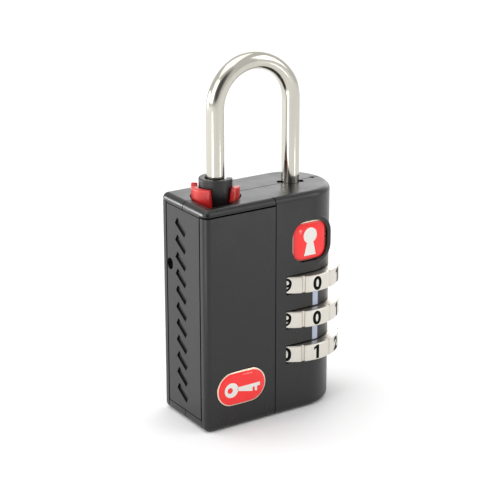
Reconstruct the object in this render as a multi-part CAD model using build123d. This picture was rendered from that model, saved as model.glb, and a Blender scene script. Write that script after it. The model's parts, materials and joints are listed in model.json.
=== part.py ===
"""Three-dial luggage padlock with a sprung shackle, a keyed release and a reset pin.

Frame: +Z up, the dials' front faces -Y, the origin is under the middle of the lock.
The long shackle leg stands on the dial axis; the short leg (the toe) stands over the key.
"""
import os
from math import cos, radians, sin

from build123d import *

# ---- driving dimensions, in millimetres ----

# casing
CASE_HEIGHT = 40.8
CASE_DEPTH = 14.75
LEFT_FACE_X = -15.7
EDGE_FILLET = 1.1
END_SETBACK = 0.4            # centre of the round end, left of the dial axis
COVER_THICKNESS = 1.5
COVER_TOP_DROP = 1.1         # the covers stop this far under the top face
COVER_SEAM_OFFSET = 7.85     # seam between cover and dial side, left of the dial axis
SEAM_GAP = 0.16
TOP_GROOVE = 0.3
PLATE_HALF_WIDTH = 5.5
PLATE_BOTTOM = 1.9
PLATE_TOP_DROP = 1.4
PARTING_GROOVE = 0.16
TOP_WALL = 3.0
FLOOR = 1.4
BOSS_FILLET = 0.3
PEG_RADIUS = 0.9
PEG_LENGTH = 1.2
PEG_HOLE = 1.4
PIN_RADIUS = 0.8
PIN_REACH = 4.4              # half length of an assembly pin
PIN_END_GAP = 0.1
TOP_PIN_RADIUS = 0.45
TOP_PIN_X = 4.7              # right of the dial axis
TOP_PIN_DEPTH = 4.0
TOP_PIN_SINK = 0.35

# shackle
WIRE_RADIUS = 1.6
TOE_X = -9.0
DIAL_AXIS_X = 6.6
BOW_RISE = 22.88             # top face to the bow's highest centre line
LEG_BOTTOM = 4.4
TOE_END_GAP = 0.3            # toe end above the top face
FIN_REACH = 0.7              # fins stand out from the wire
FIN_WIDTH = 1.0
FIN_HEIGHT = 1.5
FIN_ANGLE = 155.0
FIN_DROP = 0.4               # fins rest this far under their locking webs
RUNNING_CLEARANCE = 0.08
LEG_CHAMFER = 0.35
EAR_GAP = 0.1                # ears of the top hole round the fins
WASHER_HEIGHT = 0.8
WASHER_RADIUS = 3.6

# dials and sleeves
DIAL_RADIUS = 9.1
DIAL_HEIGHT = 3.1
DIAL_PITCH = 6.55
LOWEST_DIAL_Z = 11.3
DIAL_COUNT = 3
DIGITS = 10
DIAL_BORE = 4.8
GROOVE_RADIUS = 0.85
GROOVE_DEPTH = 0.3
DIAL_CHAMFER = 0.2
DIAL_SIDE_GAP = 0.2
DIAL_FACE_GAP = 0.2
SLEEVE_RADIUS = 4.0
BORE_GAP = 0.45              # sleeve bore round the fins
NECK_RADIUS = 3.5
TOOTH_RADIUS = 4.6
TOOTH_WIDTH = 1.0
TOOTH_HEIGHT = 1.05
SLEEVE_DROP = 1.5            # sleeve bottom under its dial's middle
NECK_START = 1.95            # neck above its dial's middle
HEAD_HEIGHT = 0.9
WEB_HALF = 0.6
GATE_GAP = 0.5               # a gate is this much wider than a fin
FIT_GAP = 0.15
LEAF = 0.25                  # detent spring's thickness
LEAF_STAND = 0.6             # back of the leaf, left of the dials' edge
FINGER_RADIUS = 0.5
FINGER_HALF = 0.8

# reset
RESET_TRAVEL = 1.2
FORK_THICKNESS = 0.8
FORK_RADIUS = 4.9
STEM_HALF_WIDTH = 1.5
RAIL_WIDTH = 1.5
RAIL_HALF_DEPTH = 2.0
RAIL_X = -4.25
RESET_Y = 4.4
RESET_RISE = 3.95            # reset pin above the top dial's middle
RESET_RADIUS = 0.8
RESET_HEAD_RADIUS = 1.15
RESET_HEAD_LENGTH = 0.8
RESET_RECESS = 1.3
CARRIAGE_ROOM = 0.2
NOSE_GAP = 0.05
NOSE_ADVANCE = 0.2           # nose plane on the pin's axis, right of the rail's left side
ARM_OVERHANG = 0.6           # arm stands out from the rail's left side
ARM_OVERLAP = 0.5            # arm runs this far into the rail
RAIL_HEAD = 1.85             # rail top above the reset pin
CARRIAGE_SPRING_ROOM = 1.6

# key side
SHELL_RADIUS = 4.3
SHELL_TOP = 11.5
KEY_FACE_Z = 0.4
PLUG_RADIUS = 3.2
PLUG_FLANGE_RADIUS = 3.75
PLUG_FLANGE_HEIGHT = 0.8
CLIP_HEIGHT = 0.6
WAFER_COUNT = 6
WAFER_PITCH = 1.3
WAFER_THICKNESS = 0.5
WAFER_REACH = 2.85
WAFER_WIDTH = 1.8
WAFER_START = 2.2            # lowest wafer above the key face
KEYWAY_REACH = 2.3
KEYWAY_WIDTH = 0.9
KEYWAY_WARD = 1.6
KEYWAY_DEPTH = 9.4
PLUG_GAP = 0.05
CLIP_GROOVE = 0.45
CLIP_GAP = 0.03
CLIP_OPENING = 2.0
SHAFT_RADIUS = 1.2
TANG = 1.6
TANG_LENGTH = 2.0
COLLAR_RADIUS = 2.95
COLLAR_GAP = 0.25            # collar bore round the toe
COLLAR_RISE = 3.34
COLLAR_SLOT = 3.4
INDICATOR_INNER = 3.1
INDICATOR_OUTER = 4.25
INDICATOR_RISE = 1.95
INDICATOR_DEPTH = 3.0
INDICATOR_BASE = 1.0         # height of the ring's closed part, under its wings
WINGS = ((140, 88), (277, 58))     # start and width of each wing, in degrees
HORN_WIDTH = 12              # raised tip of the left wing, in degrees
HORN_RISE = 0.4
OPENING_RADIUS = 4.45
OPENING_DEPTH = 6.2
CORNER_LEFT = 4.8            # squared corner of the opening, left of the toe axis
CORNER_FRONT = 5.65          # and in front of it

# badges and marks
DIAL_BADGE_SIZE = 7.3
DIAL_BADGE_CORNER = 2.6
DIAL_BADGE_X = -0.65         # from the dial axis
DIAL_BADGE_Z = 31.8
DIAL_BADGE_POCKET = 0.85
BADGE_PLATE = 0.35
BADGE_RIM = 0.9
KEY_BADGE_LENGTH = 10.1
KEY_BADGE_HEIGHT = 6.4
KEY_BADGE_X = 0.5            # from the toe axis
KEY_BADGE_Z = 7.4
KEY_BADGE_POCKET = 0.35
DOME_RISE = 0.4
DOME_ROUNDING = 0.8          # share of the dome's rise that is rounded
BADGE_GAP = 0.12
INDEX_WIDTH = 1.1
INDEX_DEPTH = 0.4
GRIP_COUNT = 11
GRIP_BOTTOM = 5.0
GRIP_PITCH = 3.1
GRIP_WIDTH = 1.4
GRIP_DEPTH = 0.35
GRIP_LENGTH = 3.6
GRIP_CENTRE_Y = 0.7
GRIP_SLANT = 32.0

# coil springs: coil radius, wire radius, turns
SHACKLE_SPRING = (1.5, 0.25, 3.5)
CARRIAGE_SPRING = (0.55, 0.15, 5)
INDICATOR_SPRING = (3.65, 0.18, 3)

# ---- worked out from the values above ----

FAR = 40                     # cutting blocks reach past the whole lock
HALF_DEPTH = CASE_DEPTH / 2
END_X = DIAL_AXIS_X - END_SETBACK
SEAM_X = DIAL_AXIS_X - COVER_SEAM_OFFSET
COVER_TOP = CASE_HEIGHT - COVER_TOP_DROP
PLATE_TOP = CASE_HEIGHT - PLATE_TOP_DROP
LEG_HOLE = WIRE_RADIUS + RUNNING_CLEARANCE
FIN_RADIUS = WIRE_RADIUS + FIN_REACH
EAR_RADIUS = FIN_RADIUS + EAR_GAP
SLEEVE_BORE = FIN_RADIUS + BORE_GAP
COLLAR_BORE = WIRE_RADIUS + COLLAR_GAP
SHACKLE_LIFT = DIAL_PITCH
DIAL_CENTRES = [LOWEST_DIAL_Z + DIAL_PITCH * i for i in range(DIAL_COUNT)][::-1]
TOP_DIAL_Z = DIAL_CENTRES[0]
SLOT_HALF = DIAL_HEIGHT / 2 + DIAL_FACE_GAP
FORK_BOTTOM = NECK_START + 0.05
NECK_HEIGHT = FORK_THICKNESS + 0.1
HEAD_TOP = NECK_START + NECK_HEIGHT + HEAD_HEIGHT
FIN_TOP = -WEB_HALF - FIN_DROP
WASHER_BOTTOM = TOP_DIAL_Z + FIN_TOP + SHACKLE_LIFT + 0.1
SLEEVE_ROOM = SLEEVE_RADIUS + 0.3
PARTITION_TOP = LOWEST_DIAL_Z + FIN_TOP - FIN_HEIGHT - 0.3
PARTITION_BOTTOM = PARTITION_TOP - 1.2
RAIL_LEFT = RAIL_X - RAIL_WIDTH / 2
RAIL_RIGHT = RAIL_X + RAIL_WIDTH / 2
RAIL_BOTTOM = LOWEST_DIAL_Z + FORK_BOTTOM
RESET_Z = TOP_DIAL_Z + RESET_RISE
RAIL_TOP = RESET_Z + RAIL_HEAD
CARRIAGE_ROOF = RAIL_TOP + RESET_TRAVEL + CARRIAGE_SPRING_ROOM
NOSE_SUM = RAIL_LEFT + RESET_Z + NOSE_ADVANCE     # the 45 degree nose lies where x + z is this
RESET_HOLE = RESET_RADIUS + 0.1
ARM_OUTER_Y = RESET_Y + RESET_HOLE
OPENING_FLOOR = CASE_HEIGHT - OPENING_DEPTH
PLUG_TOP = SHELL_TOP + CLIP_HEIGHT + 0.2
BADGE_X = DIAL_AXIS_X + DIAL_BADGE_X
KEY_BADGE_CENTRE_X = TOE_X + KEY_BADGE_X
DETENT_X = DIAL_AXIS_X - DIAL_RADIUS


def block(x0, x1, y0, y1, z0, z1):
    """A box between two corners."""
    centre = ((x0 + x1) / 2, (y0 + y1) / 2, (z0 + z1) / 2)
    return Pos(*centre) * Box(x1 - x0, y1 - y0, z1 - z0)


def rod_z(x, y, z0, z1, radius):
    """A rod that stands on end."""
    return Pos(x, y, (z0 + z1) / 2) * Cylinder(radius, z1 - z0)


def rod_y(x, z, y0, y1, radius):
    """A rod from front to back."""
    return Pos(x, (y0 + y1) / 2, z) * Rot(90, 0, 0) * Cylinder(radius, y1 - y0)


def rod_x(y, z, x0, x1, radius):
    """A rod from left to right."""
    return Pos((x0 + x1) / 2, y, z) * Rot(0, 90, 0) * Cylinder(radius, x1 - x0)


def coil(x, y, z0, z1, radius, wire, turns):
    """A helical spring that stands between two heights."""
    height = z1 - z0 - 2 * wire
    path = Helix(height / turns, height, radius)
    section = Plane(path @ 0, z_dir=path % 0) * Circle(wire)
    return Pos(x, y, z0 + wire) * sweep(section, path)


def front_plate(shape, x, z, y0, y1):
    """A flat shape that faces the front, between two depths."""
    face = Plane(origin=(x, y1, z), x_dir=(1, 0, 0), z_dir=(0, -1, 0)) * shape
    return extrude(face, y1 - y0)


def domed(plate, edge_radius):
    """A plate with its front edge rounded over."""
    front = plate.faces().sort_by(Axis.Y)[0]
    return fillet(front.edges(), edge_radius)


# ---- casing ----


def envelope(inset=0.0):
    """The closed outside of the casing, or the same shape drawn in by inset."""
    left = LEFT_FACE_X + inset
    half = HALF_DEPTH - inset
    height = CASE_HEIGHT - 2 * inset
    outline = Pos((left + END_X) / 2, 0) * Rectangle(END_X - left, 2 * half)
    outline += Pos(END_X, 0) * Circle(half)
    solid = extrude(outline, height)
    corners = solid.edges().filter_by(Axis.Z).sort_by(Axis.X)[:2]
    solid = fillet(corners, EDGE_FILLET - inset)
    rims = solid.faces().sort_by(Axis.Z)
    solid = fillet(rims[0].edges() + rims[-1].edges(), EDGE_FILLET - inset)
    return Pos(0, 0, inset) * solid


def cover_zone(seam, top, side):
    """Where the front cover lies, given the gaps at its seam, its top and the side plate."""
    inner_y = -HALF_DEPTH + COVER_THICKNESS
    inner_x = LEFT_FACE_X + COVER_THICKNESS
    front = block(LEFT_FACE_X - 1, SEAM_X - seam, -CASE_DEPTH, inner_y, -1, COVER_TOP - top)
    side_y = -PLATE_HALF_WIDTH - side
    return front + block(LEFT_FACE_X - 1, inner_x, -CASE_DEPTH, side_y, -1, COVER_TOP - top)


def plate_zone(gap, top):
    """Where the side plate lies, given the gap at its sides and at its top."""
    half = PLATE_HALF_WIDTH - gap
    right = LEFT_FACE_X + COVER_THICKNESS
    return block(LEFT_FACE_X - 1, right, -half, half, PLATE_BOTTOM + gap, PLATE_TOP - top)


def peg_places():
    """Where the covers' pegs enter the housings, as (x, z)."""
    left = LEFT_FACE_X + COVER_THICKNESS + 1.4
    right = SEAM_X - 1.75
    return [(left, 3.0), (right, 3.0), (left, OPENING_FLOOR - 3.1), (right, CASE_HEIGHT - 3.8)]


def pin_places():
    """Where the assembly pins cross the housings' joint, as (x, z)."""
    left = LEFT_FACE_X + COVER_THICKNESS + 1.6
    right = END_X + 4.8
    above = TOP_DIAL_Z + 10.1
    return [(left, 17.0), (left, OPENING_FLOOR - 2.6), (SEAM_X - 0.3, 4.5), (right, 4.5), (right, above)]


def mechanism_cuts():
    """Everything that is cut out of the two housings together, one solid at a time."""
    washer_top = WASHER_BOTTOM + WASHER_HEIGHT
    bore_top = CASE_HEIGHT - TOP_WALL
    cuts = [
        rod_z(DIAL_AXIS_X, 0, FLOOR, PARTITION_BOTTOM, WIRE_RADIUS + 0.7),
        rod_z(DIAL_AXIS_X, 0, FLOOR, CASE_HEIGHT + 1, LEG_HOLE),
        rod_z(DIAL_AXIS_X, 0, PARTITION_TOP, WASHER_BOTTOM, SLEEVE_ROOM),
        rod_z(DIAL_AXIS_X, 0, WASHER_BOTTOM, washer_top, WASHER_RADIUS),
        rod_z(DIAL_AXIS_X, 0, washer_top - 0.1, bore_top, EAR_RADIUS + 0.4),
    ]
    ears = Box(2 * EAR_RADIUS, FIN_WIDTH + 2 * FIT_GAP, TOP_WALL + 1)
    ears = ears & Cylinder(EAR_RADIUS, TOP_WALL + 1)
    cuts.append(Pos(DIAL_AXIS_X, 0, CASE_HEIGHT - TOP_WALL / 2) * Rot(0, 0, FIN_ANGLE) * ears)
    for centre in DIAL_CENTRES:
        slot_radius = DIAL_RADIUS + DIAL_SIDE_GAP
        cuts.append(rod_z(DIAL_AXIS_X, 0, centre - SLOT_HALF, centre + SLOT_HALF, slot_radius))
        low = centre + FORK_BOTTOM - 0.1
        high = centre + FORK_BOTTOM + FORK_THICKNESS + RESET_TRAVEL + FIT_GAP
        cuts.append(rod_z(DIAL_AXIS_X, 0, low, high, FORK_RADIUS + 0.25))
        stem = STEM_HALF_WIDTH + 0.25
        cuts.append(block(RAIL_X, DIAL_AXIS_X - NECK_RADIUS, -stem, stem, low, high))
    return cuts + carriage_cuts() + key_cuts() + [detent_cut()]


def carriage_cuts():
    """Room for the reset carriage, its arm and the reset pin."""
    left = RAIL_LEFT - CARRIAGE_ROOM
    right = RAIL_RIGHT + CARRIAGE_ROOM
    half = RAIL_HALF_DEPTH + CARRIAGE_ROOM
    arm_top = RAIL_TOP + RESET_TRAVEL + CARRIAGE_ROOM
    arm_y = (RAIL_HALF_DEPTH - ARM_OVERLAP - CARRIAGE_ROOM, ARM_OUTER_Y + 0.1)
    start = LEFT_FACE_X + COVER_THICKNESS - 0.5
    head_room = LEFT_FACE_X + COVER_THICKNESS + RESET_HEAD_LENGTH + RESET_TRAVEL + 0.4
    return [
        block(left, right, -half, half, RAIL_BOTTOM - CARRIAGE_ROOM, CARRIAGE_ROOF),
        block(left - ARM_OVERHANG - 0.1, right, *arm_y, RESET_Z - RESET_HOLE, arm_top),
        rod_x(RESET_Y, RESET_Z, start, right + RESET_TRAVEL, RESET_HOLE),
        rod_x(RESET_Y, RESET_Z, start, head_room, RESET_HEAD_RADIUS + FIT_GAP),
    ]


def key_cuts():
    """Room for the key cylinder, the drive shaft, the collar and the indicator."""
    top = CASE_HEIGHT + 1
    return [
        rod_z(TOE_X, 0, -1, PLUG_TOP + 0.2, SHELL_RADIUS),
        rod_z(TOE_X, 0, SHELL_TOP, OPENING_FLOOR + 1, SHAFT_RADIUS + 0.1),
        rod_z(TOE_X, 0, OPENING_FLOOR, top, OPENING_RADIUS),
        block(TOE_X - CORNER_LEFT, TOE_X, -CORNER_FRONT, 0, OPENING_FLOOR, top),
    ]


def detent_cut():
    """Room for the detent spring beside the dials."""
    low = DIAL_CENTRES[-1] - SLOT_HALF - 0.4
    high = TOP_DIAL_Z + SLOT_HALF - 0.1
    return block(DETENT_X - 0.75, DETENT_X + 0.9, -1.2, 3.7, low, high)


def badge_shape(grow):
    """Outline of the dial-side badge, grown all round."""
    size = DIAL_BADGE_SIZE + 2 * grow
    return RectangleRounded(size, size, DIAL_BADGE_CORNER + grow)


def key_badge_shape(grow):
    """Outline of the key-side badge, grown all round."""
    height = KEY_BADGE_HEIGHT + 2 * grow
    return RectangleRounded(KEY_BADGE_LENGTH + 2 * grow, height, height / 2 - 0.01)


def housings():
    """The two halves of the housing, front and rear."""
    whole = envelope()
    boss = front_plate(badge_shape(BADGE_RIM), BADGE_X, DIAL_BADGE_Z, -HALF_DEPTH, -HALF_DEPTH + 4)
    boss = fillet(boss.faces().sort_by(Axis.Y)[0].edges(), BOSS_FILLET)
    whole += boss
    pocket_y = -HALF_DEPTH + DIAL_BADGE_POCKET
    pocket_shape = badge_shape(BADGE_GAP)
    whole -= front_plate(pocket_shape, BADGE_X, DIAL_BADGE_Z, -CASE_DEPTH, pocket_y)
    zone = cover_zone(0, 0, 0)
    whole -= zone
    whole -= mirror(zone, Plane.XZ)
    whole -= plate_zone(0, 0)
    for cut in mechanism_cuts():
        whole -= cut
    for mark in index_boxes():
        whole -= mark
    for x, z in pin_places():
        reach = PIN_REACH + PIN_END_GAP
        whole -= rod_y(x, z, -reach, reach, PIN_RADIUS)
    peg_end = HALF_DEPTH - COVER_THICKNESS - PEG_HOLE
    for x, z in peg_places():
        whole -= rod_y(x, z, -HALF_DEPTH, -peg_end, PEG_RADIUS)
        whole -= rod_y(x, z, peg_end, HALF_DEPTH, PEG_RADIUS)
    whole -= top_pin_hole()
    for groove in surface_grooves():
        whole -= groove
    front = whole & block(-FAR, FAR, -FAR, 0, -1, CASE_HEIGHT + 1)
    rear = whole & block(-FAR, FAR, 0, FAR, -1, CASE_HEIGHT + 1)
    return front, rear


def surface_grooves():
    """The fine line where the halves meet, and the seams carried over the top edges."""
    top = CASE_HEIGHT + 1
    half = PARTING_GROOVE / 2
    core = envelope(PARTING_GROOVE)
    grooves = [block(-FAR, FAR, -half, half, -1, top) - core]
    low = COVER_TOP - TOP_GROOVE
    seam = block(SEAM_X - SEAM_GAP, SEAM_X, -FAR, -HALF_DEPTH + EDGE_FILLET, low, top) - core
    return grooves + [seam, mirror(seam, Plane.XZ)]


def cover(front):
    """A wrap-round cover with its pegs; the rear one is the mirror image."""
    solid = envelope() & cover_zone(SEAM_GAP, TOP_GROOVE, SEAM_GAP)
    inner_y = -HALF_DEPTH + COVER_THICKNESS
    for x, z in peg_places():
        solid += rod_y(x, z, inner_y, inner_y + PEG_LENGTH, PEG_RADIUS)
    if front:
        pocket_y = -HALF_DEPTH + KEY_BADGE_POCKET
        shape = key_badge_shape(BADGE_GAP)
        return solid - front_plate(shape, KEY_BADGE_CENTRE_X, KEY_BADGE_Z, -CASE_DEPTH, pocket_y)
    return mirror(solid, Plane.XZ)


def side_plate():
    """The left end plate with the reset hole and slanted grip grooves."""
    solid = envelope() & plate_zone(SEAM_GAP, TOP_GROOVE / 2)
    reach = (LEFT_FACE_X - 1, LEFT_FACE_X + COVER_THICKNESS + 1)
    for shift in (-FIT_GAP, FIT_GAP):
        solid -= rod_x(RESET_Y, RESET_Z + shift, *reach, RESET_HOLE)
    for i in range(GRIP_COUNT):
        bar = Box(2 * GRIP_DEPTH, GRIP_LENGTH, GRIP_WIDTH)
        z = GRIP_BOTTOM + GRIP_PITCH * i
        solid -= Pos(LEFT_FACE_X, GRIP_CENTRE_Y, z) * Rot(GRIP_SLANT, 0, 0) * bar
    return solid


def top_pin_hole():
    """The small blind hole in the top face, on the joint of the housings."""
    low = CASE_HEIGHT - TOP_PIN_DEPTH
    return rod_z(DIAL_AXIS_X + TOP_PIN_X, 0, low, CASE_HEIGHT + 1, TOP_PIN_RADIUS)


def top_pin():
    """The pin that locks the housings together from above."""
    low = CASE_HEIGHT - TOP_PIN_DEPTH
    return rod_z(DIAL_AXIS_X + TOP_PIN_X, 0, low, CASE_HEIGHT - TOP_PIN_SINK, TOP_PIN_RADIUS)


def assembly_pins():
    """The cross pins that hold the housings together."""
    return Compound([rod_y(x, z, -PIN_REACH, PIN_REACH, PIN_RADIUS) for x, z in pin_places()])


def index_boxes():
    """The pale index strips between the dial windows."""
    marks = []
    for lower, upper in zip(DIAL_CENTRES[1:], DIAL_CENTRES[:-1]):
        low = lower + SLOT_HALF
        high = upper - SLOT_HALF
        right = DIAL_AXIS_X + INDEX_WIDTH
        marks.append(block(DIAL_AXIS_X, right, -HALF_DEPTH, -HALF_DEPTH + INDEX_DEPTH, low, high))
    return marks


def badge(shape, x, z, pocket):
    """A metal badge plate and its clear dome, in a pocket of the given depth."""
    seat = -HALF_DEPTH + pocket
    front = seat - BADGE_PLATE
    plate = front_plate(shape, x, z, front, seat)
    dome = front_plate(shape, x, z, front - DOME_RISE, front)
    return plate, domed(dome, DOME_RISE * DOME_ROUNDING)


# ---- shackle side ----


def shackle():
    """The bent wire with the locking fins on its long leg."""
    span = DIAL_AXIS_X - TOE_X
    middle = (DIAL_AXIS_X + TOE_X) / 2
    bend_z = CASE_HEIGHT + BOW_RISE - span / 2
    section = Pos(DIAL_AXIS_X, 0, bend_z) * Circle(WIRE_RADIUS)
    bow = revolve(section, Axis((middle, 0, bend_z), (0, -1, 0)), 180)
    toe = rod_z(TOE_X, 0, CASE_HEIGHT + TOE_END_GAP, bend_z, WIRE_RADIUS)
    toe = chamfer(toe.edges().sort_by(Axis.Z)[0], LEG_CHAMFER)
    leg = rod_z(DIAL_AXIS_X, 0, LEG_BOTTOM, bend_z, WIRE_RADIUS)
    leg = chamfer(leg.edges().sort_by(Axis.Z)[0], LEG_CHAMFER)
    wire = bow + toe + leg
    for centre in DIAL_CENTRES:
        z = centre + FIN_TOP - FIN_HEIGHT / 2
        fin = Box(2 * FIN_RADIUS, FIN_WIDTH, FIN_HEIGHT) & Cylinder(FIN_RADIUS, FIN_HEIGHT)
        wire += Pos(DIAL_AXIS_X, 0, z) * Rot(0, 0, FIN_ANGLE) * fin
    return wire


def stop_washer():
    """The washer that the top fins meet when the shackle is fully up."""
    top = WASHER_BOTTOM + WASHER_HEIGHT
    washer = rod_z(DIAL_AXIS_X, 0, WASHER_BOTTOM, top, WASHER_RADIUS)
    return washer - rod_z(DIAL_AXIS_X, 0, WASHER_BOTTOM, top, LEG_HOLE)


def teeth(width, outer, height):
    """Ten keys round an axis, standing on z = 0."""
    ring = None
    for i in range(DIGITS):
        angle = 360 / DIGITS * i
        key = Pos(outer / 2, 0, height / 2) * Box(outer, width, height)
        key = Rot(0, 0, angle) * key
        ring = key if ring is None else ring + key
    return ring


def dial(centre):
    """A number wheel: grooves between the digits, inner keyways in its lower half."""
    low = -DIAL_HEIGHT / 2
    wheel = Cylinder(DIAL_RADIUS, DIAL_HEIGHT)
    wheel = chamfer(wheel.edges().filter_by(GeomType.CIRCLE), DIAL_CHAMFER)
    wheel -= Cylinder(SLEEVE_RADIUS + FIT_GAP, DIAL_HEIGHT)
    ring_top = low + TOOTH_HEIGHT + 0.1
    wheel -= rod_z(0, 0, ring_top, DIAL_HEIGHT, DIAL_BORE)
    ways = teeth(TOOTH_WIDTH + 0.2, TOOTH_RADIUS + FIT_GAP, DIAL_HEIGHT)
    wheel -= Pos(0, 0, low) * ways
    groove_reach = DIAL_RADIUS + GROOVE_RADIUS - GROOVE_DEPTH
    for i in range(DIGITS):
        angle = 360 / DIGITS * i
        groove = Pos(groove_reach, 0, 0) * Cylinder(GROOVE_RADIUS, DIAL_HEIGHT)
        wheel -= Rot(0, 0, angle) * groove
    return Pos(DIAL_AXIS_X, 0, centre) * wheel


def sleeve(centre):
    """A locking sleeve: keys for its dial, a neck for the fork and a web with two gates."""
    body = rod_z(0, 0, -SLEEVE_DROP, HEAD_TOP, SLEEVE_RADIUS)
    neck = rod_z(0, 0, NECK_START, NECK_START + NECK_HEIGHT, SLEEVE_RADIUS)
    neck -= rod_z(0, 0, NECK_START, NECK_START + NECK_HEIGHT, NECK_RADIUS)
    body -= neck
    body += Pos(0, 0, -SLEEVE_DROP) * teeth(TOOTH_WIDTH, TOOTH_RADIUS, TOOTH_HEIGHT)
    body -= rod_z(0, 0, -SLEEVE_DROP, -WEB_HALF, SLEEVE_BORE)
    body -= rod_z(0, 0, WEB_HALF, HEAD_TOP, SLEEVE_BORE)
    body -= rod_z(0, 0, -WEB_HALF, WEB_HALF, LEG_HOLE)
    gate = Box(2 * SLEEVE_BORE, FIN_WIDTH + GATE_GAP, 2 * WEB_HALF) & Cylinder(SLEEVE_BORE, 2 * WEB_HALF)
    body -= Rot(0, 0, FIN_ANGLE) * gate
    return Pos(DIAL_AXIS_X, 0, centre) * body


def detent_spring():
    """One stamped leaf with a rounded finger in a groove of each dial."""
    back = DETENT_X - LEAF_STAND
    face = back + LEAF
    low = DIAL_CENTRES[-1] - SLOT_HALF - 0.3
    leaf = block(back, face, 2.3, 3.5, low, TOP_DIAL_Z + 1.2)
    for centre in DIAL_CENTRES:
        heights = (centre - FINGER_HALF, centre + FINGER_HALF)
        leaf += block(back, face, -0.9, 2.3, *heights)
        nose = rod_z(face, 0, *heights, FINGER_RADIUS)
        leaf += nose & block(face, face + 1, -1, 1, *heights)
    return leaf


# ---- reset ----


def reset_carriage():
    """The rail with three forks, and the arm that the reset pin lifts."""
    half = RAIL_HALF_DEPTH
    body = block(RAIL_LEFT, RAIL_RIGHT, -half, half, RAIL_BOTTOM, RAIL_TOP)
    for centre in DIAL_CENTRES:
        low = centre + FORK_BOTTOM
        high = low + FORK_THICKNESS
        fork = rod_z(DIAL_AXIS_X, 0, low, high, FORK_RADIUS)
        fork += block(RAIL_X, DIAL_AXIS_X, -STEM_HALF_WIDTH, STEM_HALF_WIDTH, low, high)
        opening = NECK_RADIUS + FIT_GAP
        fork -= rod_z(DIAL_AXIS_X, 0, low, high, opening)
        fork -= block(DIAL_AXIS_X, DIAL_AXIS_X + 9, -opening, opening, low, high)
        body += fork
    arm_left = RAIL_LEFT - ARM_OVERHANG
    arm_front = half - ARM_OVERLAP
    arm = block(arm_left, RAIL_RIGHT, arm_front, ARM_OUTER_Y, RESET_Z - RESET_RADIUS / 2, RAIL_TOP)
    return body + (arm - below_nose(NOSE_GAP))


def below_nose(gap):
    """The space under the 45 degree plane of the reset nose, raised by gap."""
    size = 5 * FAR
    slab = Pos(-size / 2, 0, 0) * Box(size, size, size)
    return Pos(NOSE_SUM + gap, 0, 0) * Rot(0, -45, 0) * slab


def reset_pin():
    """The pin behind the side plate; its 45 degree nose lifts the carriage."""
    start = LEFT_FACE_X + RESET_RECESS
    inner = LEFT_FACE_X + COVER_THICKNESS
    pin = rod_x(RESET_Y, RESET_Z, start, RAIL_RIGHT, RESET_RADIUS)
    pin = pin & below_nose(0)
    return pin + rod_x(RESET_Y, RESET_Z, inner, inner + RESET_HEAD_LENGTH, RESET_HEAD_RADIUS)


# ---- key side ----


def key_cylinder_shell():
    """The fixed tube that the key plug turns in."""
    shell = rod_z(TOE_X, 0, KEY_FACE_Z, SHELL_TOP, SHELL_RADIUS)
    shell -= rod_z(TOE_X, 0, KEY_FACE_Z, SHELL_TOP, PLUG_RADIUS)
    head = PLUG_FLANGE_RADIUS + RUNNING_CLEARANCE
    return shell - rod_z(TOE_X, 0, 0, KEY_FACE_Z + PLUG_FLANGE_HEIGHT + 0.05, head)


def wafer_heights():
    """The heights of the wafers in the plug."""
    return [KEY_FACE_Z + WAFER_START + WAFER_PITCH * i for i in range(WAFER_COUNT)]


def key_plug():
    """The plug with its keyway, wafer slots and a square socket on top."""
    radius = PLUG_RADIUS - PLUG_GAP
    plug = rod_z(TOE_X, 0, KEY_FACE_Z, PLUG_TOP, radius)
    plug += rod_z(TOE_X, 0, KEY_FACE_Z, KEY_FACE_Z + PLUG_FLANGE_HEIGHT, PLUG_FLANGE_RADIUS)
    top = KEY_FACE_Z + KEYWAY_DEPTH
    half = KEYWAY_WIDTH / 2
    ward = KEYWAY_WARD / 2
    plug -= block(TOE_X - KEYWAY_REACH, TOE_X + KEYWAY_REACH, -half, half, 0, top)
    plug -= block(TOE_X + 0.6, TOE_X + 1.4, -ward, ward, 0, top)
    slot = WAFER_WIDTH / 2 + PLUG_GAP
    for z in wafer_heights():
        high = z + WAFER_THICKNESS + 2 * PLUG_GAP
        plug -= block(TOE_X - PLUG_RADIUS, TOE_X + PLUG_RADIUS, -slot, slot, z, high)
    groove = rod_z(TOE_X, 0, SHELL_TOP, SHELL_TOP + CLIP_HEIGHT, SHELL_RADIUS)
    groove -= rod_z(TOE_X, 0, SHELL_TOP, SHELL_TOP + CLIP_HEIGHT, radius - CLIP_GROOVE)
    plug -= groove
    half = TANG / 2
    return plug - block(TOE_X - half, TOE_X + half, -half, half, PLUG_TOP - TANG_LENGTH, PLUG_TOP)


def key_wafers():
    """The spring-loaded wafers, drawn as a key holds them, flush with the plug."""
    wafers = []
    for z in wafer_heights():
        half = WAFER_WIDTH / 2
        low = z + PLUG_GAP
        left = TOE_X - WAFER_REACH
        plate = block(left, TOE_X + WAFER_REACH, -half, half, low, low + WAFER_THICKNESS)
        slot = KEYWAY_WIDTH / 2 + PLUG_GAP
        window = block(TOE_X - 1.5, TOE_X + 1.5, -slot, slot, z, z + 2 * WAFER_THICKNESS)
        wafers.append(plate - window)
    return Compound(wafers)


def plug_clip():
    """The open ring that keeps the plug in its shell."""
    low = SHELL_TOP + CLIP_GAP
    high = SHELL_TOP + CLIP_HEIGHT - CLIP_GAP
    clip = rod_z(TOE_X, 0, low, high, SHELL_RADIUS - 0.2)
    clip -= rod_z(TOE_X, 0, low, high, PLUG_RADIUS - PLUG_GAP - CLIP_GROOVE)
    half = CLIP_OPENING / 2
    return clip - block(TOE_X, TOE_X + SHELL_RADIUS, -half, half, low, high)


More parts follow.
